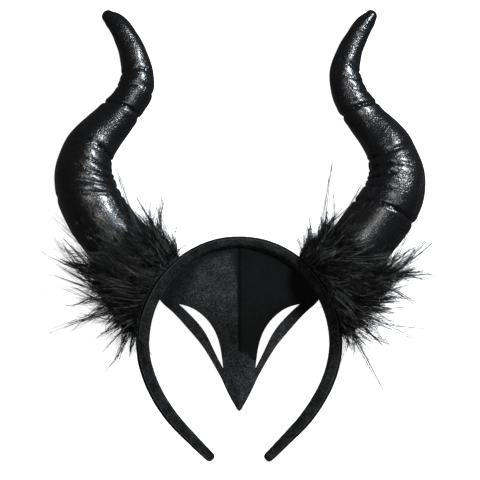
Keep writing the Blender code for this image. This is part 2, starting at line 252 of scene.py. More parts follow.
def stored(surface, name):
    """The value that the mesh stores under this name."""
    return node(surface.id_data, "ShaderNodeAttribute", attribute_name=name).outputs["Fac"]


def drive(surface, socket, value):
    surface.id_data.links.new(value, surface.inputs[socket])


def bumps(surface, layers):
    """Stacks bumps from (height, depth in metres, strength) layers, coarse ones first."""
    normal = None
    for height, depth, strength in layers:
        sockets = {"Height": height, "Distance": depth, "Strength": strength}
        if normal is not None:
            sockets["Normal"] = normal
        normal = node(surface.id_data, "ShaderNodeBump", sockets).outputs["Normal"]
    drive(surface, "Normal", normal)


# %% [markdown]
# The horns are covered in faux leather: a glossy black film pressed with a pebble grain of
# a little over a millimetre, which breaks each long highlight into speckles. It is made
# from rounded cells, with a slow swell and a quicker tilt under them and a fine unevenness
# on top. A thin clear coat adds the brightest glints, as lacquer does.

# %% Faux leather
PEBBLES_A_METRE = 720.0
WOBBLES_A_METRE = 700.0
PEBBLE_WOBBLE = 1.1 * MM
PEBBLE_ROUND = 0.25
GLOSS_RANGE = (0.30, 0.08)


def leather_finish():
    material, surface, place = new_material(
        "black_faux_leather", IOR=1.5, Coat_Weight=0.22, Coat_Roughness=0.15)
    tree = surface.id_data
    wobble = node(tree, "ShaderNodeTexNoise",
                  {"Vector": place, "Scale": WOBBLES_A_METRE, "Detail": 1.0}).outputs["Color"]
    cells_at = vectors("ADD", place, scaled(wobble, PEBBLE_WOBBLE))
    valleys = node(tree, "ShaderNodeTexVoronoi", {"Vector": cells_at, "Scale": PEBBLES_A_METRE},
                   feature="DISTANCE_TO_EDGE").outputs["Distance"]
    pebble = node(tree, "ShaderNodeMapRange", {0: valleys, 1: 0.0, 2: PEBBLE_ROUND}).outputs[0]
    swell = noise(place, 9 * MM, 1.0)
    tilt = noise(place, 2.4 * MM, 1.0)
    film = noise(place, 1.0 * MM, 1.0, 0.6)
    drive(surface, "Base Color", tones(film, [(0.3, 0.0025, 1.1), (0.8, 0.006, 1.15)]))
    gloss = {0: times(pebble, film), 3: GLOSS_RANGE[0], 4: GLOSS_RANGE[1]}
    drive(surface, "Roughness", node(tree, "ShaderNodeMapRange", gloss).outputs[0])
    bumps(surface, [(swell, 1.0 * MM, 0.30), (tilt, 0.34 * MM, 0.6),
                    (pebble, 0.08 * MM, 0.8), (film, 0.13 * MM, 0.8)])
    return material


# %% [markdown]
# Felt has no weave, only a mottle of fibres that run every way, so noises stretched along
# different directions are laid over one another, and the strongest shows. The right half of
# the peak is painted darker, as shade where the dart turns it from the light, shade is
# painted beside the band and the dart, and a painted shadow runs along the dart's seam. The
# band's cloth is made in the same way, with a painted highlight on its lap and painted shade
# beside it.

# %% Felt and velvety cloth
FIBRE_SIZE = 0.7 * MM
FIBRE_DRAW = (0.40, 1.4, 1.0)
FELT_TURNS = (0.3, 1.5, -0.7)
CLOTH_TURNS = (0.8, -0.9)
PATCH_SIZE = 6 * MM
SEAM_SHADOW_BLACK = (0.0005, 0.0005, 0.0005, 1)


def fibres(place, turns):
    """The strongest of several noises, each drawn out along its own direction."""
    strongest = None
    for turn in turns:
        turned = {"Vector": place, "Rotation": (0, 0, turn)}
        turned = node(place.id_data, "ShaderNodeMapping", turned).outputs[0]
        drawn = {"Vector": turned, "Scale": FIBRE_DRAW}
        drawn = node(place.id_data, "ShaderNodeMapping", drawn).outputs[0]
        one = noise(drawn, FIBRE_SIZE, 2.0, 0.6)
        strongest = one if strongest is None else maths("MAXIMUM", strongest, one)
    return strongest


def felt_finish():
    material, surface, place = new_material(
        "black_pressed_felt", Roughness=0.95, Specular_IOR_Level=0.12)
    mottle = mixed("FLOAT", 0.15, fibres(place, FELT_TURNS), noise(place, PATCH_SIZE))
    # lit holds the felt's own colour, and turned a darker copy of it that is painted shade, mixed
    # in by the stored shade mask.
    lit = tones(mottle, [(0.46, 0.003, 1.0), (0.56, 0.014, 1.02), (0.67, 0.058, 1.03)])
    turned = tones(mottle, [(0.46, 0.0008, 1.0), (0.67, 0.004, 1.0)])
    shade = mixed("RGBA", stored(surface, "painted_shade"), lit, turned)
    # A painted black shadow along the dart's seam.
    shade = mixed("RGBA", stored(surface, "seam"), shade, SEAM_SHADOW_BLACK)
    drive(surface, "Base Color", shade)
    bumps(surface, [(noise(place, 3 * MM), 0.5 * MM, 0.3), (mottle, 0.25 * MM, 0.6)])
    return material


def cloth_finish():
    material, surface, place = new_material(
        "black_velvety_cloth", Roughness=0.9, Specular_IOR_Level=0.12,
        Sheen_Weight=0.03, Sheen_Roughness=0.35)
    pile = fibres(place, CLOTH_TURNS)
    crush = noise(place, PATCH_SIZE)
    # The lap tone adds a painted highlight on the lap and painted shade beside it.
    shade = plus(mixed("FLOAT", 0.2, pile, crush), stored(surface, "lap"))
    shade = tones(shade, [(0.42, 0.001, 1.0), (0.53, 0.004, 1.0), (0.66, 0.030, 1.0)])
    drive(surface, "Base Color", shade)
    bumps(surface, [(crush, 0.6 * MM, 0.3), (pile, 0.2 * MM, 0.6)])
    return material


# %% [markdown]
# Faux fur is a plastic fibre with a soft gloss. Each hair stores its own shade, and turns
# lighter and browner towards its tip. Most hairs take a shade from the dark end of the
# table, and the few glint hairs a painted glint from the light end.

# %% Fur and its backing
SHADE_SPREAD = 0.14
# The light end of this table, which only the glint hairs take, is a painted glint.
FUR_ROWS = [
    # shade, grey and blue tint at the root, grey and blue tint at the tip
    (0.0, 0.001, 1.0, 0.001, 0.95),
    (SHADE_SPREAD, 0.003, 0.97, 0.005, 0.92),
    (1 - SHADE_SPREAD, 0.02, 0.96, 0.05, 0.93),
    (1.0, 0.08, 0.95, 0.16, 0.92),
]


def fur_finish():
    material, surface, _ = new_material(
        "black_faux_fur", Roughness=0.30, Specular_IOR_Level=0.25)
    shade = stored(surface, "shade")
    root = tones(shade, [row[:3] for row in FUR_ROWS])
    tip = tones(shade, [(row[0], *row[3:]) for row in FUR_ROWS])
    drive(surface, "Base Color", mixed("RGBA", stored(surface, "along"), root, tip))
    return material


def backing_finish():
    material, surface, place = new_material("fur_backing_knit", Roughness=0.9)
    strands = noise(place, 1.2 * MM, 3.0, 0.7)
    drive(surface, "Base Color", tones(strands, [(0.3, 0.0005, 1.0), (0.8, 0.003, 1.0)]))
    bumps(surface, [(strands, 0.4 * MM, 0.7)])
    return material


leather = leather_finish()
felt = felt_finish()
cloth = cloth_finish()
fur = fur_finish()
backing_knit = backing_finish()
print("materials", len(bpy.data.materials))

# %% [markdown]
# ## The band
#
# The hoop is an arch of a quarter ellipse on each side, with padded legs that turn in to
# grip the head. The free edge of its cloth is laid along the front, near the outer side.
# That lap is part of the section that is swept along the centreline, with a painted highlight
# stored on its ridge and painted shade in the step beside it.

# %% The centreline of the band
BAND_THICKNESS = 9.2 * MM
BAND_DEPTH = 13.0 * MM
BAND_HEIGHT = 146.5 * MM
BAND_SQUARENESS = 3.0
BAND_SPACING = 1.2 * MM
ARCH_STEPS = 120
WIDEST_UP = 0.515
WIDEST_THICKNESS = 0.985
LEG_ROWS = [
    # across, up, as shares of the half width and of the height
    (1.000, WIDEST_UP), (0.982, 0.450), (0.937, 0.376), (0.866, 0.302),
    (0.765, 0.227), (0.638, 0.153), (0.479, 0.079), (0.310, 0.004),
]
BAND_ROWS = [
    # share of the band's length, thickness, depth
    (0.00, 0.74, 0.62), (0.04, 0.84, 0.70), (0.10, 0.98, 0.84),
    (0.17, 1.00, 0.96), (0.30, 0.96, 1.00), (0.50, 0.80, 1.00),
]
band_low, band_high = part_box("headband")
half_width = band_high.x - WIDEST_THICKNESS * BAND_THICKNESS / 2
base_y = band_high.y - BAND_HEIGHT - BAND_ROWS[-1][1] * BAND_THICKNESS / 2
band_z = (band_low.z + band_high.z) / 2


def band_centreline():
    """Points from the end of the left leg over the crown to the right leg."""
    arch = [(half_width * sin(t), (WIDEST_UP + (1 - WIDEST_UP) * cos(t)) * BAND_HEIGHT)
            for t in np.linspace(0, pi / 2, ARCH_STEPS)]
    leg = smooth_rows(LEG_ROWS) * (half_width, BAND_HEIGHT)
    right = np.vstack([arch, leg[1:]]) + (0, base_y)
    left = right[:0:-1] * (-1, 1)
    return np.vstack([left, right])


def band_stations(spacing=BAND_SPACING):
    """Evenly spaced centreline points with their direction, normal and half sizes."""
    line = band_centreline()
    at = lengths_along(line)
    section = smooth_rows(BAND_ROWS)
    stations = []
    for place in np.linspace(0, at[-1], int(at[-1] / spacing)):
        ahead = read_curve(line, at, place + MM)
        behind = read_curve(line, at, place - MM)
        along = (ahead - behind) / np.linalg.norm(ahead - behind)
        share = min(place, at[-1] - place) / at[-1]
        _, thickness, depth = read_curve(section, section[:, 0], share)
        stations.append((place / at[-1], read_curve(line, at, place), along,
                         np.array([-along[1], along[0]]),
                         thickness * BAND_THICKNESS / 2, depth * BAND_DEPTH / 2))
    return stations


def band_edge(offset, spacing=BAND_SPACING, side=1):
    """A line beside the band's outer edge, or beside its inner edge where side is -1."""
    return np.array([point + side * normal * (half + offset)
                     for _, point, _, normal, half, _ in band_stations(spacing)])


# %% The covered band
BAND_SIDES = 64
BAND_TURNS = 2 * pi * np.arange(BAND_SIDES) / BAND_SIDES
LAP_TURN = radians(62)
LAP_HEIGHT = 0.7 * MM
LAP_WIDTH = 0.6 * MM
LAP_STEP = 1.3
LAP_STEP_AT = 1.3 * LAP_WIDTH
LAP_STEP_WIDTH = 0.35 * MM
# A painted highlight on the lap's ridge and painted shade in the step beside it.
LAP_HIGHLIGHT_AND_SHADE = [
    # tone, turn from the lap, width, with both turns in radians
    (0.22, 0.0, 0.12),
    (-0.40, -0.25, 0.13),
]
PUCKER_HEIGHT = 0.07 * MM
PUCKER_RATES = (310, 127, 71)
DOME_ROWS = [
    # ahead, scale
    (0.15, 0.995), (0.35, 0.96), (0.55, 0.89), (0.75, 0.77), (0.90, 0.60), (0.98, 0.40),
]


def band_ring(place, point, normal, half, depth):
    """One section of the cover, with the lap of cloth and a little puckering."""
    c, s = np.cos(BAND_TURNS), np.sin(BAND_TURNS)
    across = np.sign(c) * np.abs(c) ** (2 / BAND_SQUARENESS)
    up = np.sign(s) * np.abs(s) ** (2 / BAND_SQUARENESS)
    off = (BAND_TURNS - LAP_TURN) * depth
    step = LAP_STEP * dip(off + LAP_STEP_AT, LAP_STEP_WIDTH)
    lap = LAP_HEIGHT * (bell(off, LAP_WIDTH) - step)
    quick, slow, slowest = (place * rate for rate in PUCKER_RATES)
    waves = np.sin(quick + 2 * c) * np.sin(slow + 3 * s) + np.sin(slowest + BAND_TURNS)
    grow = 1 + (lap + PUCKER_HEIGHT * waves) / depth
    flat = point[:, None] + normal[:, None] * (across * half * grow)
    return np.vstack([flat, band_z + up * depth * grow]).T


def make_band():
    """The swept cover with its round ends and the painted highlight and shade of its lap."""
    stations = band_stations()
    rings = [band_ring(place, point, normal, half, depth)
             for place, point, _, normal, half, depth in stations]
    for ahead, scale in DOME_ROWS:
        for end, facing in ((0, -1), (-1, 1)):
            place, point, along, normal, half, depth = stations[end]
            tip = point + along * facing * half * ahead
            ring = band_ring(place, tip, normal, half * scale, depth * scale)
            rings = [ring] + rings if end == 0 else rings + [ring]
    cover = skin("band_cover", rings)
    # Painted highlight and shade across the lap, stored for the cloth.
    line = sum(tone * bell(BAND_TURNS - LAP_TURN - away, width) for tone, away, width in LAP_HIGHLIGHT_AND_SHADE)
    lap = np.zeros(len(cover.data.vertices))
    lap[: len(rings) * BAND_SIDES] = np.tile(line, len(rings))
    store_values(cover.data, "lap", lap)
    return cover


band = make_band()
wear(band, cloth)
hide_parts("headband")
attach(band, "root")
print("band", triangles(band), "triangles")

# %% [markdown]
# The horns and the fur sit outside the band, and are cut to its outer edge. The cutter is a
# prism of the arch, and it is thrown away once the Boolean has run.

# %% A cutter with the band's outline
SEAT_GAP = 0.35 * MM
SEAT_TUCK = 0.3 * MM
CUTTER_SPACING = 3 * MM
CUTTER_HEIGHTS = (-20 * MM, 120 * MM)
CUT_EDGE = radians(60)


def cut_to_band(obj):
    """Takes away what would reach into the band's arch."""
    outline = band_edge(-SEAT_TUCK, CUTTER_SPACING)
    points = [(x, y, z) for z in CUTTER_HEIGHTS for x, y in outline]
    faces = ring_faces(2, len(outline))
    faces += [tuple(range(len(outline))), tuple(range(len(outline), 2 * len(outline)))]
    cutter = mesh_object("band_envelope", points, faces)
    cut = obj.modifiers.new("foot on the band", "BOOLEAN")
    cut.operation = "DIFFERENCE"
    cut.solver = "EXACT"
    cut.object = cutter
    plain_mesh(obj)
    bpy.data.objects.remove(cutter)
    obj.data.shade_smooth()
    obj.data.set_sharp_from_angle(angle=CUT_EDGE)
    return obj


# %% [markdown]
# ## The felt peak
#
# The peak is one sheet of 2 mm felt. A dart down its middle folds the sheet forward into a
# ridge and stops above the tip. Two slots are cut through it. The sheet is a grid of rows
# that follow its outline, and the slot is the one column that is left out.

# %% The sheet of felt
PEAK_DROP = 110.8 * MM
FELT_THICKNESS = 2.0 * MM
PEAK_RIDGE = 14.0 * MM
PEAK_FALL = 1.25
PEAK_SEAT_FORWARD = 1.5 * MM
PEAK_CORNER_DOWN = 0.322
DART_END = 0.640
DART_DEPTH = 1.3 * MM
DART_WIDTH = 0.7 * MM
DART_FADE = 0.05
TIP_FADE = 0.08
TIP_ROUND = 0.3
RIDGE_ROUND = 0.01
WAVE_HEIGHT = 0.25 * MM
WAVE_ACROSS, WAVE_ASLANT, WAVE_UP = 140, 90, 75
PEAK_ROWS = [
    # down, outer edge, slot outer edge, slot inner edge
    (0.339, 0.969, 0.780, 0.780), (0.358, 0.926, 0.740, 0.639),
    (0.385, 0.859, 0.679, 0.527), (0.431, 0.764, 0.585, 0.415),
    (0.480, 0.674, 0.497, 0.335), (0.535, 0.575, 0.419, 0.278),
    (0.602, 0.464, 0.350, 0.238), (0.676, 0.367, 0.277, 0.214),
    (0.752, 0.278, 0.195, 0.195), (0.798, 0.227, 0.159, 0.159),
    (0.847, 0.182, 0.127, 0.127), (0.896, 0.132, 0.092, 0.092),
    (0.945, 0.076, 0.053, 0.053), (1.000, 0.000, 0.000, 0.000),
]
CREST_ROWS = [
    # down, height
    (0.00, 0.08), (0.08, 0.25), (0.18, 0.60), (0.33, 0.93), (0.45, 1.00),
    (0.60, 0.62), (0.72, 0.30), (0.85, 0.16), (1.00, 0.10),
]
PANEL_COLUMNS = 26
PANEL_CROWDING = 1.45
STRAP_COLUMNS = 9
FELT_CLEARANCE = 0.7 * MM
FELT_TUCK = 0.5 * MM
CORNER_GAP = 0.5 * MM
FELT_EDGE = radians(50)


def peak_edges():
    """Rows of (y, outer edge, slot outer edge, slot inner edge) down the right half."""
    inner = band_edge(FELT_CLEARANCE, side=-1)
    right = inner[inner[:, 0] > 0]
    right = right[: np.argmax(right[:, 0]) + 1]
    crown_y = right[0, 1]
    corner_y = crown_y - PEAK_CORNER_DOWN * PEAK_DROP
    corner_x = np.interp(-corner_y, -right[:, 1], right[:, 0])
    first_slot = PEAK_ROWS[0][2] / PEAK_ROWS[0][1]
    tuck = FELT_CLEARANCE + FELT_TUCK
    upper = [(y + tuck * (y - corner_y) / (crown_y - corner_y), x + tuck * x / corner_x,
              x * first_slot, x * first_slot) for x, y in right if y > corner_y + CORNER_GAP]
    lower = smooth_rows([(PEAK_CORNER_DOWN, 1.0, first_slot, first_slot)] + PEAK_ROWS, 5)
    lower = [(crown_y - row[0] * PEAK_DROP, *(row[1:] * corner_x)) for row in lower]
    return upper + lower, crown_y


def felt_point(x, y, edge, down, crest):
    """A point of the sheet's middle layer: the ridge, the dart and a little waviness."""
    height = PEAK_RIDGE * np.interp(down, crest[:, 0], crest[:, 1])
    share = min(abs(x) / max(edge, MM), 1.0)
    past_dart = smooth_step(DART_END - DART_FADE, DART_END + TIP_FADE, down)
    round_off = TIP_ROUND * past_dart + RIDGE_ROUND
    share = (np.hypot(share, round_off) - round_off) / (np.hypot(1, round_off) - round_off)
    dart = DART_DEPTH * dip(x, DART_WIDTH)
    dart *= 1 - smooth_step(DART_END - DART_FADE, DART_END, down)
    wave = WAVE_HEIGHT * sin(x * WAVE_ACROSS + y * WAVE_ASLANT) * sin(y * WAVE_UP + 1.0)
    z = band_z + PEAK_SEAT_FORWARD + height * (1 - share) ** PEAK_FALL - dart + wave
    return (x, y, z)


def make_peak():
    rows, crown_y = peak_edges()
    crest = smooth_rows(CREST_ROWS)
    panel = np.linspace(0, 1, PANEL_COLUMNS) ** PANEL_CROWDING
    strap = np.linspace(0, 1, STRAP_COLUMNS)
    width = PANEL_COLUMNS + STRAP_COLUMNS
    points, faces = [], []
    for side in (-1, 1):
        start = len(points)
        for y, edge, slot_out, slot_in in rows:
            down = (crown_y - y) / PEAK_DROP
            columns = [*(min(slot_in, slot_out) * panel), *(slot_out + (edge - slot_out) * strap)]
            points += [felt_point(side * x, y, edge, down, crest) for x in columns]
        for quad in ring_faces(len(rows), width, closed=False):
            if quad[0] % width != PANEL_COLUMNS - 1:
                quad = [start + k for k in quad]
                faces.append(quad if side > 0 else quad[::-1])
    peak = mesh_object("felt_peak", points, faces)
    area = sum(face.area for face in peak.data.polygons)
    if sum(face.normal.z for face in peak.data.polygons) < 0:
        peak.data.flip_normals()
    wall = peak.modifiers.new("felt", "SOLIDIFY")
    wall.thickness = FELT_THICKNESS
    wall.offset = 0
    plain_mesh(peak)
    peak.data.shade_smooth()
    peak.data.set_sharp_from_angle(angle=FELT_EDGE)
    return peak, area, crown_y


peak, felt_area, crown_y = make_peak()
wear(peak, felt)

# %% Paint shade on the right half, beside the band and along the dart
# The painted shade of the right half, which the dart turns from the light, ends in a short
# curve where the dart ends, and on the right strap it ends halfway down. Shade is also
# painted beside the band and the dart.
SHADE_END_CURVE = 17 * MM
SHADE_END_DROP = 9 * MM
SHADE_EDGE_AT_DART = (-0.2 * MM, 0.6 * MM)
SHADE_END_BLUR = 1.5 * MM
SLOT_BLUR = 0.5 * MM
STRAP_LIT = (38 * MM, 52 * MM)
PAINTED_SHADE_DEPTH = 0.85
BAND_SHADE_WIDTH = 8 * MM
BAND_SHADE_ON_STRAP = 24 * MM
STRAP_STARTS = (24 * MM, 40 * MM)
BY_DART_LOW = 2.0 * MM
BY_DART_WIDTH = 7.0 * MM
BY_DART_RISE = (-35 * MM, -12 * MM)
BY_DART_FADE = 20 * MM
SEAM_SHADOW_HALF = 1.5 * MM
SEAM_SHADOW_FADE = 2 * MM
dart_end_y = crown_y - DART_END * PEAK_DROP


def right_half_shade(x, y, past_slot):
    """1 on the right panel and the upper part of its strap, where shade is painted."""
    end = dart_end_y - SHADE_END_DROP * smooth_step(0, SHADE_END_CURVE, x)
    turned = smooth_step(*SHADE_EDGE_AT_DART, x) * smooth_step(end - SHADE_END_BLUR, end + SHADE_END_BLUR, y)
    on_strap = smooth_step(-SLOT_BLUR, SLOT_BLUR, past_slot)
    return turned * (1 - on_strap * smooth_step(*STRAP_LIT, crown_y - y))


def band_and_dart_shade(x, y, to_band):
    """How much shade is painted beside the band and beside the dart."""
    strap = smooth_step(*STRAP_STARTS, abs(x))
    reach = BAND_SHADE_WIDTH + (BAND_SHADE_ON_STRAP - BAND_SHADE_WIDTH) * strap
    by_band = 1 - smooth_step(0.15 * reach, reach, to_band)
    width = BY_DART_LOW + BY_DART_WIDTH * smooth_step(*BY_DART_RISE, y)
    by_dart = 1 - smooth_step(0.2 * width, width, abs(x))
    by_dart *= smooth_step(dart_end_y, dart_end_y + BY_DART_FADE, y)
    return PAINTED_SHADE_DEPTH * max(by_band, by_dart)


def paint_felt():
    """Stores the painted shade on the felt, and the painted shadow along the dart's seam."""
    inside = band_edge(0.0, 2 * MM, side=-1)
    slot = np.array([row[:3] for row in peak_edges()[0]])
    painted_shade, seam = [], []
    for vertex in peak.data.vertices:
        x, y, _ = vertex.co
        past_slot = x - np.interp(-y, -slot[:, 0], slot[:, 2])
        to_band = np.min(np.hypot(*(inside - (x, y)).T))
        # Painted shade on the right half, beside the band and beside the dart.
        painted_shade.append(float(max(right_half_shade(x, y, past_slot), band_and_dart_shade(x, y, to_band))))
        # The seam mask is a painted shadow along the dart.
        line = 1 - smooth_step(0.4 * SEAM_SHADOW_HALF, SEAM_SHADOW_HALF, abs(x))
        line *= smooth_step(dart_end_y - SEAM_SHADOW_FADE, dart_end_y + SEAM_SHADOW_FADE, y)
        seam.append(float(line))
    store_values(peak.data, "painted_shade", painted_shade)
    store_values(peak.data, "seam", seam)


paint_felt()
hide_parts("forehead_peak")
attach(peak, "root")
print("felt", triangles(peak), "triangles,", round(felt_area * 1e4, 1), "square cm")

# %% [markdown]
# ## The horns
#
# Each horn is a stuffed cover of two panels. Thread tied round it pulls grooves and
# small gathers, and inside the bends the leather wrinkles. No two horns are stuffed alike,
# so each has its own tables. A fold's place is given on the horn's outer side, middle and
# inner side, because no thread runs quite square.

# %% The two axes
HORN_RISE = 189.2 * MM
HORN_RADIUS = 21.4 * MM
HORN_TIP_LIFT = 6.0 * MM
HORN_SEAT_ANGLE = radians(32.4)
RUFF_PAD = 5.0 * MM
HORN_SINK = 0.6 * MM
HORN_SINK_START = 0.25
HORN_REST_START = 0.36
FOOT_ROWS = [(0.0, 0.0, 1.0), (0.084, 0.097, 1.0), (0.155, 0.185, 1.0)]
HORN_ROWS = {
    # out, up, girth
    "left": FOOT_ROWS + [
        (0.217, 0.270, 0.995), (0.254, 0.350, 0.977), (0.267, 0.413, 0.935),
        (0.257, 0.478, 0.850), (0.226, 0.536, 0.771), (0.169, 0.601, 0.664),
        (0.113, 0.667, 0.579), (0.080, 0.726, 0.579), (0.076, 0.795, 0.500),
        (0.093, 0.861, 0.435), (0.121, 0.921, 0.374), (0.146, 0.957, 0.328),
        (0.165, 0.976, 0.280), (0.179, 0.987, 0.210),
    ],
    "right": FOOT_ROWS + [
        (0.219, 0.268, 0.995), (0.264, 0.347, 0.967), (0.273, 0.413, 0.907),
        (0.259, 0.478, 0.804), (0.230, 0.538, 0.734), (0.173, 0.605, 0.621),
        (0.122, 0.673, 0.579), (0.096, 0.731, 0.542), (0.088, 0.794, 0.477),
        (0.104, 0.857, 0.407), (0.132, 0.915, 0.347), (0.154, 0.951, 0.312),
        (0.170, 0.973, 0.270), (0.181, 0.988, 0.205),
    ],
}


def horn_axis(rows):
    """The horn's axis in 3D with its radius, from its seat on the band to its tip."""
    seat_x = half_width * cos(HORN_SEAT_ANGLE)
    seat_y = base_y + (WIDEST_UP + (1 - WIDEST_UP) * sin(HORN_SEAT_ANGLE)) * BAND_HEIGHT
    curve = smooth_rows(rows)
    at = lengths_along(curve[:, :2])
    along = at / at[-1]
    radius = curve[:, 2] * HORN_RADIUS
    pad = RUFF_PAD * (1 - smooth_step(0.0, HORN_REST_START, along))
    sunk = HORN_SINK * smooth_step(HORN_SINK_START, HORN_REST_START, along)
    lift = np.maximum(radius + pad - sunk, HORN_TIP_LIFT)
    return np.stack([seat_x + curve[:, 0] * HORN_RISE, seat_y + curve[:, 1] * HORN_RISE,
                     lift, radius], axis=1)


def horn_line(side):
    """The axis of one horn, and how far along it each of its points lies."""
    axis = horn_axis(HORN_ROWS[side])
    return axis, lengths_along(axis[:, :3])


def horn_frame(axis, at, place):
    """Centre, radius, direction, outer side and front at a place along the horn."""
    inside = min(max(place, 0.0), at[-1])
    x, y, z, radius = read_curve(axis, at, inside)
    ahead = read_curve(axis, at, inside + 2 * MM)
    behind = read_curve(axis, at, inside - 2 * MM)
    along = Vector(ahead[:3] - behind[:3]).normalized()
    centre = Vector((x, y, z)) + along * min(place, 0.0)
    side = along.cross(Vector((0, 0, 1))).normalized()
    return centre, radius, along, side, side.cross(along)


# %% The folds of each horn
FOLD_DEPTH = 1.5 * MM
FOLD_WIDTH = 0.75 * MM
FOLD_CORE = 0.05
FOLD_FADE = 0.35
SWELL_HEIGHT = 0.28 * MM
SWELL_OFF = 3.2 * MM
SWELL_WIDTH = 2.2 * MM
GATHER_HEIGHT = 0.06 * MM
GATHER_REACH = 3.5 * MM
GATHERS, GATHER_SLANT = 17, 900
STUFFING_HEIGHT = 0.22 * MM
STUFFING_RATES = (260, 95)
LEAST_SLACK = 0.25
FOLD_ROWS = {
    # outer, middle, inner place, depth, from side, to side
    "left": [
        (0.795, 0.806, 0.788, 1.00, 0.95, -0.75), (0.730, 0.757, 0.748, 0.75, 1.00, -1.00),
        (0.651, 0.682, 0.679, 1.25, 1.00, -1.00), (0.508, 0.530, 0.512, 1.00, 0.55, -1.00),
        (0.476, 0.477, 0.438, 0.80, 0.20, -1.00), (0.440, 0.440, 0.395, 0.85, 0.15, -1.00),
        (0.404, 0.404, 0.352, 0.75, 0.10, -1.00), (0.384, 0.370, 0.314, 0.60, 0.95, -1.00),
    ],
    "right": [
        (0.803, 0.833, 0.833, 0.95, 1.00, -0.40), (0.758, 0.787, 0.789, 0.60, 1.00, -0.25),
        (0.718, 0.749, 0.749, 0.40, 1.00, 0.20), (0.661, 0.687, 0.688, 1.20, 1.00, -1.00),
        (0.511, 0.506, 0.511, 1.00, 0.75, -1.00), (0.445, 0.458, 0.469, 0.75, 0.55, -1.00),
        (0.463, 0.463, 0.445, 0.80, -0.25, -1.00), (0.445, 0.435, 0.415, 0.95, -0.15, -1.00),
        (0.408, 0.390, 0.358, 0.85, -0.25, -1.00), (0.328, 0.327, 0.287, 1.30, 1.00, -1.00),
    ],
}
SEAM_DEPTH = 0.45 * MM
SEAM_WIDTH = 0.5 * MM
SEAM_TURNS = (radians(164), radians(344))
SEAM_SWING = radians(42)
SEAM_SWING_FROM = 0.84


def fold_place(fold, total, c):
    """Where a fold lies along the horn, where c runs from 1 outside to -1 inside."""
    outer, middle, inner = (share * total for share in fold[:3])
    return middle + (outer - inner) / 2 * c + ((outer + inner) / 2 - middle) * c * c


def horn_relief(place, total, radius, turn, folds):
    """How far folds, gathers, seams and stuffing move the leather out."""
    c = np.cos(turn)
    quick, slow = (place * rate for rate in STUFFING_RATES)
    relief = STUFFING_HEIGHT * np.sin(quick + 2 * turn) * np.sin(slow - 3 * turn)
    slack = min(radius / HORN_RADIUS + LEAST_SLACK, 1.0)
    for fold in folds:
        off = place - fold_place(fold, total, c)
        depth, start, end = fold[3:]
        window = smooth_step(end - FOLD_FADE, end + FOLD_CORE, c)
        window = window * (1 - smooth_step(start - FOLD_CORE, start + FOLD_FADE, c))
        swell = SWELL_HEIGHT * bell(np.abs(off) - SWELL_OFF, SWELL_WIDTH)
        gathers = np.sin(GATHERS * turn + GATHER_SLANT * off) * dip(off, GATHER_REACH)
        shape = swell + GATHER_HEIGHT * gathers - FOLD_DEPTH * dip(off, FOLD_WIDTH)
        relief = relief + depth * slack * window * shape
    swing = SEAM_SWING * smooth_step(SEAM_SWING_FROM, 1.0, place / total)
    for seam in SEAM_TURNS:
        arc = (turn - seam - swing + pi) % (2 * pi) - pi
        relief = relief - SEAM_DEPTH * slack * dip(arc * radius, SEAM_WIDTH)
    return relief


# %% Build one horn
HORN_SIDES = 128
HORN_SPACING = 1.05 * MM
HORN_FOOT = 0.65 * HORN_RADIUS
HORN_FLOOR_GAP = 0.02 * MM
TIP_SHARES = (0.35, 0.62, 0.80, 0.92, 0.98)


def horn_ring(axis, at, place, folds=None, grow=0.0, sides=HORN_SIDES, scale=1.0):
    centre, radius, _, side, front = horn_frame(axis, at, place)
    turn = 2 * pi * (np.arange(sides) + 0.5) / sides
    reach = np.full(sides, (radius + grow) * scale)
    if folds is not None:
        reach = reach + horn_relief(place, at[-1], radius, turn, folds) * scale
    around = np.outer(np.cos(turn), side) + np.outer(np.sin(turn), front)
    ring = np.array(centre) + around * reach[:, None]
    ring[:, 2] = np.maximum(ring[:, 2], HORN_FLOOR_GAP)
    return ring


def on_side(rings, side):
    """Mirrors rings from the right to the left where side is left."""
    return [ring * (-1, 1, 1) for ring in rings] if side == "left" else rings


def make_horn(side):
    axis, at = horn_line(side)
    places = np.linspace(-HORN_FOOT, at[-1], int((at[-1] + HORN_FOOT) / HORN_SPACING))
    rings = [horn_ring(axis, at, place, FOLD_ROWS[side]) for place in places]
    _, radius, along, _, _ = horn_frame(axis, at, at[-1])
    for share in TIP_SHARES:
        cap = horn_ring(axis, at, at[-1], scale=(1 - share**2) ** 0.5)
        rings.append(cap + np.array(along) * radius * share)
    horn = skin("leather_horn_" + side, on_side(rings, side))
    return cut_to_band(horn)


for side in ("left", "right"):
    horn = make_horn(side)
    wear(horn, leather)
    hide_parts("horn_" + side)
    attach(horn, "root")
    print(horn.name, triangles(horn), "triangles")

# %% [markdown]
# ## The fur
#
# A strip of long pile fur is wrapped round the foot of each horn. Its backing is a closed
# collar. Geometry Nodes grow the hair on an open copy of its outer face, as thin three
# sided cones that are bent all at once. The way the hair lies is stored there first, as a
# vector for the root and one for the tip. The two ruffs lie differently in the photo.

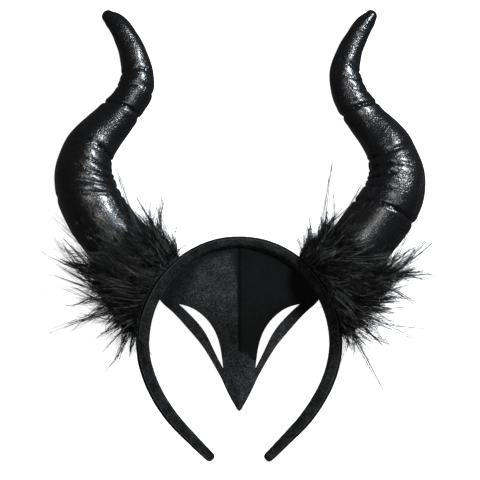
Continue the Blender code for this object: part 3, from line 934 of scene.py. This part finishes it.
# %% The collar and the way its hair lies
RUFF_HEIGHT = 34.0 * MM
RUFF_BULK = 12.0 * MM
RUFF_RIM = 1.2 * MM
COLLAR_SHARE = 0.42
COLLAR_SIDES = 60
COLLAR_TURNS = 2 * pi * (np.arange(COLLAR_SIDES) + 0.5) / COLLAR_SIDES
COLLAR_FLOOR_GAP = 0.1 * MM
COLLAR_INSIDE = 0.6 * SEAT_GAP
RUFF_ROWS = [
    # along, bulk
    (-0.55, 0.90), (-0.40, 0.95), (-0.12, 1.00), (0.15, 0.92),
    (0.42, 0.72), (0.70, 0.40), (1.00, 0.00),
]
HAIR_SIDES = {
    # degrees, bulk, pile, fullness, gather, turn low, turn high, swept, curl
    "left": [
        (0, 1.20, 1.05, 0.75, 1.00, 150, 5, 0, 0.14),
        (90, 0.75, 0.78, 1.00, 0.45, 66, 24, 72, 0.25),
        (180, 0.66, 0.95, 0.50, 0.90, 64, 8, 0, 0.05),
        (270, 0.60, 0.36, 0.60, 1.00, 130, 30, 20, 0.10),
    ],
    "right": [
        (0, 1.20, 1.25, 0.75, 1.00, 128, 14, 0, 0.26),
        (90, 0.75, 0.82, 1.00, 0.45, 100, 50, 72, 0.10),
        (180, 0.66, 0.80, 0.55, 0.90, 50, 4, 0, 0.10),
        (270, 0.60, 0.36, 0.60, 1.00, 130, 30, 20, 0.10),
    ],
}


def hair_side(side, turn):
    """The columns of HAIR_SIDES after the first, read smoothly round the horn."""
    rows = HAIR_SIDES[side]
    values = np.zeros(len(rows[0]) - 1)
    for row in rows:
        values += np.array(row[1:]) * max(cos(turn - radians(row[0])), 0.0) ** 2
    return values


def collar_ring(axis, at, side_name, share, bulk):
    centre, radius, _, side, front = horn_frame(axis, at, share * RUFF_HEIGHT)
    ring = []
    for turn in COLLAR_TURNS:
        thick = RUFF_RIM + bulk * COLLAR_SHARE * RUFF_BULK * hair_side(side_name, turn)[0]
        point = centre + (side * cos(turn) + front * sin(turn)) * (radius + SEAT_GAP + thick)
        ring.append((point.x, point.y, max(point.z, COLLAR_FLOOR_GAP)))
    return np.array(ring)


def collar_outside(side):
    """The horn's axis, its collar's rows and the rings of the collar's outer face."""
    axis, at = horn_line(side)
    rows = smooth_rows(RUFF_ROWS, 4)
    rings = [collar_ring(axis, at, side, share, max(bulk, 0)) for share, bulk in rows]
    return axis, at, rows, rings


def make_collar(side):
    """The closed backing round the horn's foot."""
    axis, at, rows, outer = collar_outside(side)
    inner = [horn_ring(axis, at, share * RUFF_HEIGHT, grow=COLLAR_INSIDE, sides=COLLAR_SIDES)
             for share, _ in rows]
    rings = on_side(outer + inner[::-1] + [outer[0]], side)
    collar = mesh_object("fur_backing_" + side, np.concatenate(rings),
                         ring_faces(len(rings), COLLAR_SIDES))
    return cut_to_band(collar)


# %% The face that the hair grows on
ROOT_LIFT = 0.12
TIP_SAG = 0.12
TIP_TUCK = 0.2
BARE_AT_BAND = 0.8 * MM
BARE_AT_FLOOR = (0.5 * MM, 6 * MM)


def hair_directions(side_name, share, turn, frame_here):
    """The heading of a hair at its root, and how its tip turns from that."""
    _, _, along, side, front = frame_here
    away = side * cos(turn) + front * sin(turn)
    turn_low, turn_high, swept, curl = hair_side(side_name, turn)[4:]
    rise = smooth_step(RUFF_ROWS[0][0], RUFF_ROWS[-1][0], share)
    lean = radians(turn_low + (turn_high - turn_low) * rise)
    sideways = away * cos(radians(swept)) + side * sin(radians(swept))
    heading = (along * cos(lean) + sideways * sin(lean) + away * ROOT_LIFT).normalized()
    return heading, along * curl + Vector((0, 0, -TIP_SAG)) - away * TIP_TUCK


def make_field(side):
    """The open face that the hair grows on, with its painted attributes."""
    axis, at, rows, rings = collar_outside(side)
    edge = band_edge(0.0)
    edge = edge[edge[:, 0] > 0]
    mirror = -1 if side == "left" else 1
    heading, curl, pile, growth, gather = [], [], [], [], []
    for (share, _), ring in zip(rows, rings):
        here = horn_frame(axis, at, share * RUFF_HEIGHT)
        for turn, point in zip(COLLAR_TURNS, ring):
            root, tip = hair_directions(side, share, turn, here)
            heading.append((root.x * mirror, root.y, root.z))
            curl.append((tip.x * mirror, tip.y, tip.z))
            _, long, full, gathered = hair_side(side, turn)[:4]
            pile.append(long)
            gather.append(gathered)
            edge_x = np.interp(-point[1], -edge[:, 1], edge[:, 0], left=0.0)
            clear = smooth_step(0.0, BARE_AT_BAND, point[0] - edge_x)
            growth.append(float(full * clear * smooth_step(*BARE_AT_FLOOR, point[2])))
    points = np.concatenate(on_side(rings, side))
    faces = ring_faces(len(rings), COLLAR_SIDES)
    if side == "right":
        faces = [face[::-1] for face in faces]
    mesh = bpy.data.meshes.new("hair_field_" + side)
    mesh.from_pydata([tuple(p) for p in points], [], faces)
    for name, values in (("heading", heading), ("curl", curl)):
        painted = mesh.attributes.new(name, "FLOAT_VECTOR", "POINT")
        painted.data.foreach_set("vector", np.ravel(values))
    for name, values in (("pile", pile), ("growth", growth), ("gathered", gather)):
        store_values(mesh, name, values)
    return mesh


# %% [markdown]
# One tree with named inputs makes all five coats: a dense undercoat, the main coat, long
# hair, stray hairs and the glint hairs, whose lighter colour is a painted glint. To gather
# hair into locks, a second, much thinner set of points is thrown, and each hair takes its
# direction and length from the nearest of them and closes up to it. Last, hair that would lie
# inside the horn is moved out to its surface, and what stands high over the table is pressed down.

# %% The hair tree's inputs, and short names for its nodes
COAT_INPUTS = ("Density", "Length", "Root Radius", "Segments", "Lock Density", "Lock Pull",
               "Lock Spread", "Stray", "Light", "Seed")
KINDS = {"Segments": "Int", "Seed": "Int", "Horn": "Object", "Finish": "Material"}
grow_hair = bpy.data.node_groups.new("grow_hair", "GeometryNodeTree")
new_socket = grow_hair.interface.new_socket
new_socket("Geometry", in_out="INPUT", socket_type="NodeSocketGeometry")
for name in (*COAT_INPUTS, "Widest", "Horn", "Finish"):
    new_socket(name, in_out="INPUT", socket_type="NodeSocket" + KINDS.get(name, "Float"))
new_socket("Geometry", in_out="OUTPUT", socket_type="NodeSocketGeometry")
given = node(grow_hair, "NodeGroupInput").outputs


def put(kind, inputs=(), **settings):
    return node(grow_hair, kind, inputs, **settings).outputs[0]


def named(name, kind="FLOAT_VECTOR"):
    return put("GeometryNodeInputNamedAttribute", {"Name": name}, data_type=kind)


def store(geometry, name, value, kind="FLOAT_VECTOR"):
    sockets = {"Geometry": geometry, "Name": name, "Value": value}
    return put("GeometryNodeStoreNamedAttribute", sockets, data_type=kind)


def seed(offset):
    return plus(given["Seed"], offset)


def chance(low, high, offset):
    """A random number for each point."""
    sockets = {2: low, 3: high, "Seed": seed(offset)}
    return node(grow_hair, "FunctionNodeRandomValue", sockets).outputs[1]


def any_way(offset):
    """A random vector for each point, at most 1 along each axis."""
    sockets = {0: (-1, -1, -1), 1: (1, 1, 1), "Seed": seed(offset)}
    return put("FunctionNodeRandomValue", sockets, data_type="FLOAT_VECTOR")


def throw(density, offset):
    sockets = {"Mesh": given["Geometry"], "Density": density, "Seed": seed(offset)}
    return put("GeometryNodeDistributePointsOnFaces", sockets)


def parts_of_place():
    return node(grow_hair, "ShaderNodeSeparateXYZ", {0: position}).outputs


def moved(geometry, socket, value):
    return put("GeometryNodeSetPosition", {"Geometry": geometry, socket: value})


position = put("GeometryNodeInputPosition")

# %% Throw the hairs and gather them into locks
LOCK_LENGTHS = (0.50, 1.15)
HAIR_LENGTHS = (0.70, 1.05)
LOCK_BEND = 1.5


def throw_hairs():
    """A point for each hair, with its direction, bend, length and shade."""
    roots = throw(times(given["Density"], named("growth", "FLOAT")), 0.0)
    locks = throw(given["Lock Density"], 1.0)
    nearest = put("GeometryNodeSampleNearest", {"Geometry": locks})

    def of_lock(value, kind="FLOAT_VECTOR"):
        sockets = {"Geometry": locks, "Value": value, "Index": nearest}
        return put("GeometryNodeSampleIndex", sockets, data_type=kind)

    pull = times(given["Lock Pull"], named("gathered", "FLOAT"))
    length = times(given["Length"], named("pile", "FLOAT"))
    length = times(length, of_lock(chance(*LOCK_LENGTHS, 2.0), "FLOAT"))
    length = times(length, chance(*HAIR_LENGTHS, 3.0))
    spread = given["Lock Spread"]
    for name, field, scale, offset in (
        ("aim", "heading", spread, 4.0),
        ("bend", "curl", times(spread, LOCK_BEND), 6.0),
    ):
        painted = mixed("VECTOR", pull, named(field), of_lock(named(field)))
        lock_way = scaled(of_lock(any_way(offset)), scale)
        own_way = scaled(any_way(offset + 1), given["Stray"])
        roots = store(roots, name, vectors("ADD", painted, vectors("ADD", lock_way, own_way)))
    roots = store(roots, "gather", vectors("SUBTRACT", of_lock(position), position))
    # The glint hairs' light shades are a painted glint.
    shade = chance(given["Light"], plus(given["Light"], SHADE_SPREAD), 8.0)
    for name, value in (("pulled", pull), ("reach", length), ("shade", shade)):
        roots = store(roots, name, value, "FLOAT")
    return roots


# %% Set a bent cone on each point
TIP_SHARE = 0.5
CLOSING_POWER = 0.75


def set_hairs(roots):
    """A thin cone on each point, bent by its curl and closed up to its lock."""
    radius = given["Root Radius"]
    sockets = {"Vertices": 3, "Side Segments": given["Segments"], "Depth": 1.0,
               "Radius Bottom": radius, "Radius Top": times(radius, TIP_SHARE)}
    hair = store(put("GeometryNodeMeshCone", sockets), "along", parts_of_place()["Z"], "FLOAT")
    aimed = put("FunctionNodeAlignRotationToVector", {"Vector": named("aim")}, axis="Z")
    reach = named("reach", "FLOAT")
    size = put("ShaderNodeCombineXYZ", {0: 1.0, 1: 1.0, 2: reach})
    hairs = put("GeometryNodeInstanceOnPoints",
                {"Points": roots, "Instance": hair, "Rotation": aimed, "Scale": size})
    hairs = put("GeometryNodeRealizeInstances", {"Geometry": hairs})
    along = named("along", "FLOAT")
    bent = times(times(along, along), reach)
    closing = times(maths("POWER", along, CLOSING_POWER), named("pulled", "FLOAT"))
    offset = vectors("ADD", scaled(named("bend"), bent), scaled(named("gather"), closing))
    return moved(hairs, "Offset", offset)


# %% Keep the hair clear of the horn, the floor and the limits
ROOT_CLEARANCE = 0.5 * MM
TIP_CLEARANCE = 1.0 * MM
FURTHEST_PUSH = 6 * MM
FLAT_FROM = 56 * MM
HAIR_FLOOR_GAP = 0.3 * MM


def keep_clear(hairs):
    horn = node(grow_hair, "GeometryNodeObjectInfo", {"Object": given["Horn"]})

    def of_horn(value):
        sockets = {"Mesh": horn.outputs["Geometry"], "Value": value}
        return put("GeometryNodeSampleNearestSurface", sockets, data_type="FLOAT_VECTOR")

    out = of_horn(put("GeometryNodeInputNormal"))
    height = vectors("DOT_PRODUCT", vectors("SUBTRACT", position, of_horn(position)), out)
    wanted = plus(times(named("along", "FLOAT"), TIP_CLEARANCE), ROOT_CLEARANCE)
    missing = maths("MAXIMUM", maths("SUBTRACT", wanted, height), 0.0)
    missing = maths("MINIMUM", missing, FURTHEST_PUSH)
    hairs = moved(hairs, "Offset", scaled(out, missing))
    parts = parts_of_place()
    widest = given["Widest"]
    x = maths("MINIMUM", maths("MAXIMUM", parts["X"], times(widest, -1.0)), widest)
    pressed = plus(times(parts["Z"], 0.5), FLAT_FROM / 2)
    z = maths("MAXIMUM", maths("MINIMUM", parts["Z"], pressed), HAIR_FLOOR_GAP)
    return moved(hairs, "Position", put("ShaderNodeCombineXYZ", {0: x, 1: parts["Y"], 2: z}))


hairs = keep_clear(set_hairs(throw_hairs()))
hairs = put("GeometryNodeSetShadeSmooth", {"Geometry": hairs})
done = put("GeometryNodeSetMaterial", {"Geometry": hairs, "Material": given["Finish"]})
node(grow_hair, "NodeGroupOutput", {"Geometry": done})
print("hair tree", len(grow_hair.nodes), "nodes")

# %% Grow the coats
COATS = {
    # density, length, root radius, segments, lock density, pull, spread, stray, painted glint,
    # seed
    "undercoat": (1.4e6, 8 * MM, 0.24 * MM, 3, 0.20e6, 0.30, 0.15, 0.30, 0.0, 11),
    "coat": (0.80e6, 19 * MM, 0.20 * MM, 5, 0.090e6, 0.98, 0.38, 0.022, 0.0, 23),
    "long_hair": (0.26e6, 42 * MM, 0.19 * MM, 7, 0.032e6, 0.99, 0.42, 0.014, 0.0, 37),
    "stray_hair": (0.065e6, 42 * MM, 0.12 * MM, 9, 0.050e6, 0.10, 0.30, 0.34, 0.0, 51),
    "glint_hair": (0.16e6, 26 * MM, 0.15 * MM, 6, 0.050e6, 0.30, 0.22, 0.10, 0.97, 71),
}
SIDE_SEEDS = {"left": 5, "right": 100}
HAIR_WIDEST = cad_box[1].x + 8.5 * MM
CORE_SPACING = 3 * MM
CORE_FOOT = 40 * MM
CORE_SIDES = 32


def horn_core(side):
    """A plain skin of the horn, which keeps the hair outside."""
    axis, at = horn_line(side)
    rings = [horn_ring(axis, at, place, sides=CORE_SIDES)
             for place in np.arange(-CORE_FOOT, at[-1] / 2, CORE_SPACING)]
    return skin("horn_core_" + side, on_side(rings, side))


def grow(side, name, coat, core):
    """One coat of hair on one ruff."""
    hair = new_object(f"fur_{name}_{side}", make_field(side))
    grower = hair.modifiers.new("grow hair", "NODES")
    grower.node_group = grow_hair
    wanted = dict(zip(COAT_INPUTS, coat), Widest=HAIR_WIDEST, Horn=core, Finish=fur)
    wanted["Seed"] += SIDE_SEEDS[side]
    for item in grow_hair.interface.items_tree:
        if item.in_out == "INPUT" and item.name in wanted:
            grower[item.identifier] = wanted[item.name]
    return plain_mesh(hair)


for side in ("left", "right"):
    collar = make_collar(side)
    wear(collar, backing_knit)
    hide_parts("fur_ruff_" + side)
    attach(collar, "root")
    core = horn_core(side)
    for name, coat in COATS.items():
        hair = grow(side, name, coat, core)
        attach(hair, "root")
        print(hair.name, triangles(hair), "triangles")
    bpy.data.objects.remove(core)

# %% [markdown]
# ## The studio
#
# The headband lies on a pale, evenly lit table, and the camera looks straight down from
# far away, as a product is photographed. The key soft box at the upper right draws the long
# highlights on the leather, and a weaker one near the lens fills the felt and the fur.

# %% Floor, camera and lights
PHOTO_SPAN = 0.3264
PHOTO_CENTRE = (0.0005, -0.0024)
CAMERA_HEIGHT = 5.0
SENSOR = 0.036
FLOOR_HALF = 4
FLOOR_DROP = 0.3 * MM
FLOOR_GLOW = 0.9
AIR_LIGHT = 0.06
LIGHT_TARGET = Vector((0, 0, 0.02))
SOFT_BOXES = [
    # name, place, width, power, tint
    ("key_soft_box", (0.70, 0.66, 0.78), 0.24, 22.0, (0.87, 0.94, 1.0)),
    ("front_soft_box", (0.05, 0.10, 1.30), 0.40, 6.0, (1, 1, 1)),
]


def make_floor():
    a, b = -FLOOR_HALF, FLOOR_HALF
    corners = [(a, a, 0), (b, a, 0), (b, b, 0), (a, b, 0)]
    floor = mesh_object("pale_floor", corners, [(0, 1, 2, 3)])
    material, surface, place = new_material(
        "pale_table", Roughness=0.8, Emission_Color=(1, 1, 1, 1), Emission_Strength=FLOOR_GLOW)
    mottle = tones(noise(place, 0.4), [(0.3, 0.86, 1.0), (0.7, 0.90, 1.0)])
    drive(surface, "Base Color", mottle)
    wear(floor, material)
    floor.location.z = -FLOOR_DROP
    floor.visible_glossy = False


def add_light(name, place, width, power, tint):
    """A square soft box at place, which faces the headband."""
    data = bpy.data.lights.new(name, "AREA")
    data.size = width
    data.energy = power
    data.color = tint
    light = new_object(name, data)
    light.location = place
    light.rotation_euler = (LIGHT_TARGET - Vector(place)).to_track_quat("-Z", "Y").to_euler()


make_floor()
for soft_box in SOFT_BOXES:
    add_light(*soft_box)
world = bpy.data.worlds.new("studio_air")
world.use_nodes = True
air = world.node_tree.nodes["Background"].inputs
air["Color"].default_value = (1, 1, 1, 1)
air["Strength"].default_value = AIR_LIGHT
scene.world = world
scene.view_settings.view_transform = "Standard"

camera = bpy.data.cameras.new("camera_above")
camera.sensor_width = SENSOR / MM
camera.lens = camera.sensor_width * (CAMERA_HEIGHT - band_z) / PHOTO_SPAN
camera.clip_end = 2 * CAMERA_HEIGHT
eye = new_object("camera_above", camera)
eye.location = (*PHOTO_CENTRE, CAMERA_HEIGHT)
scene.camera = eye
print("lens", round(camera.lens, 1), "mm")
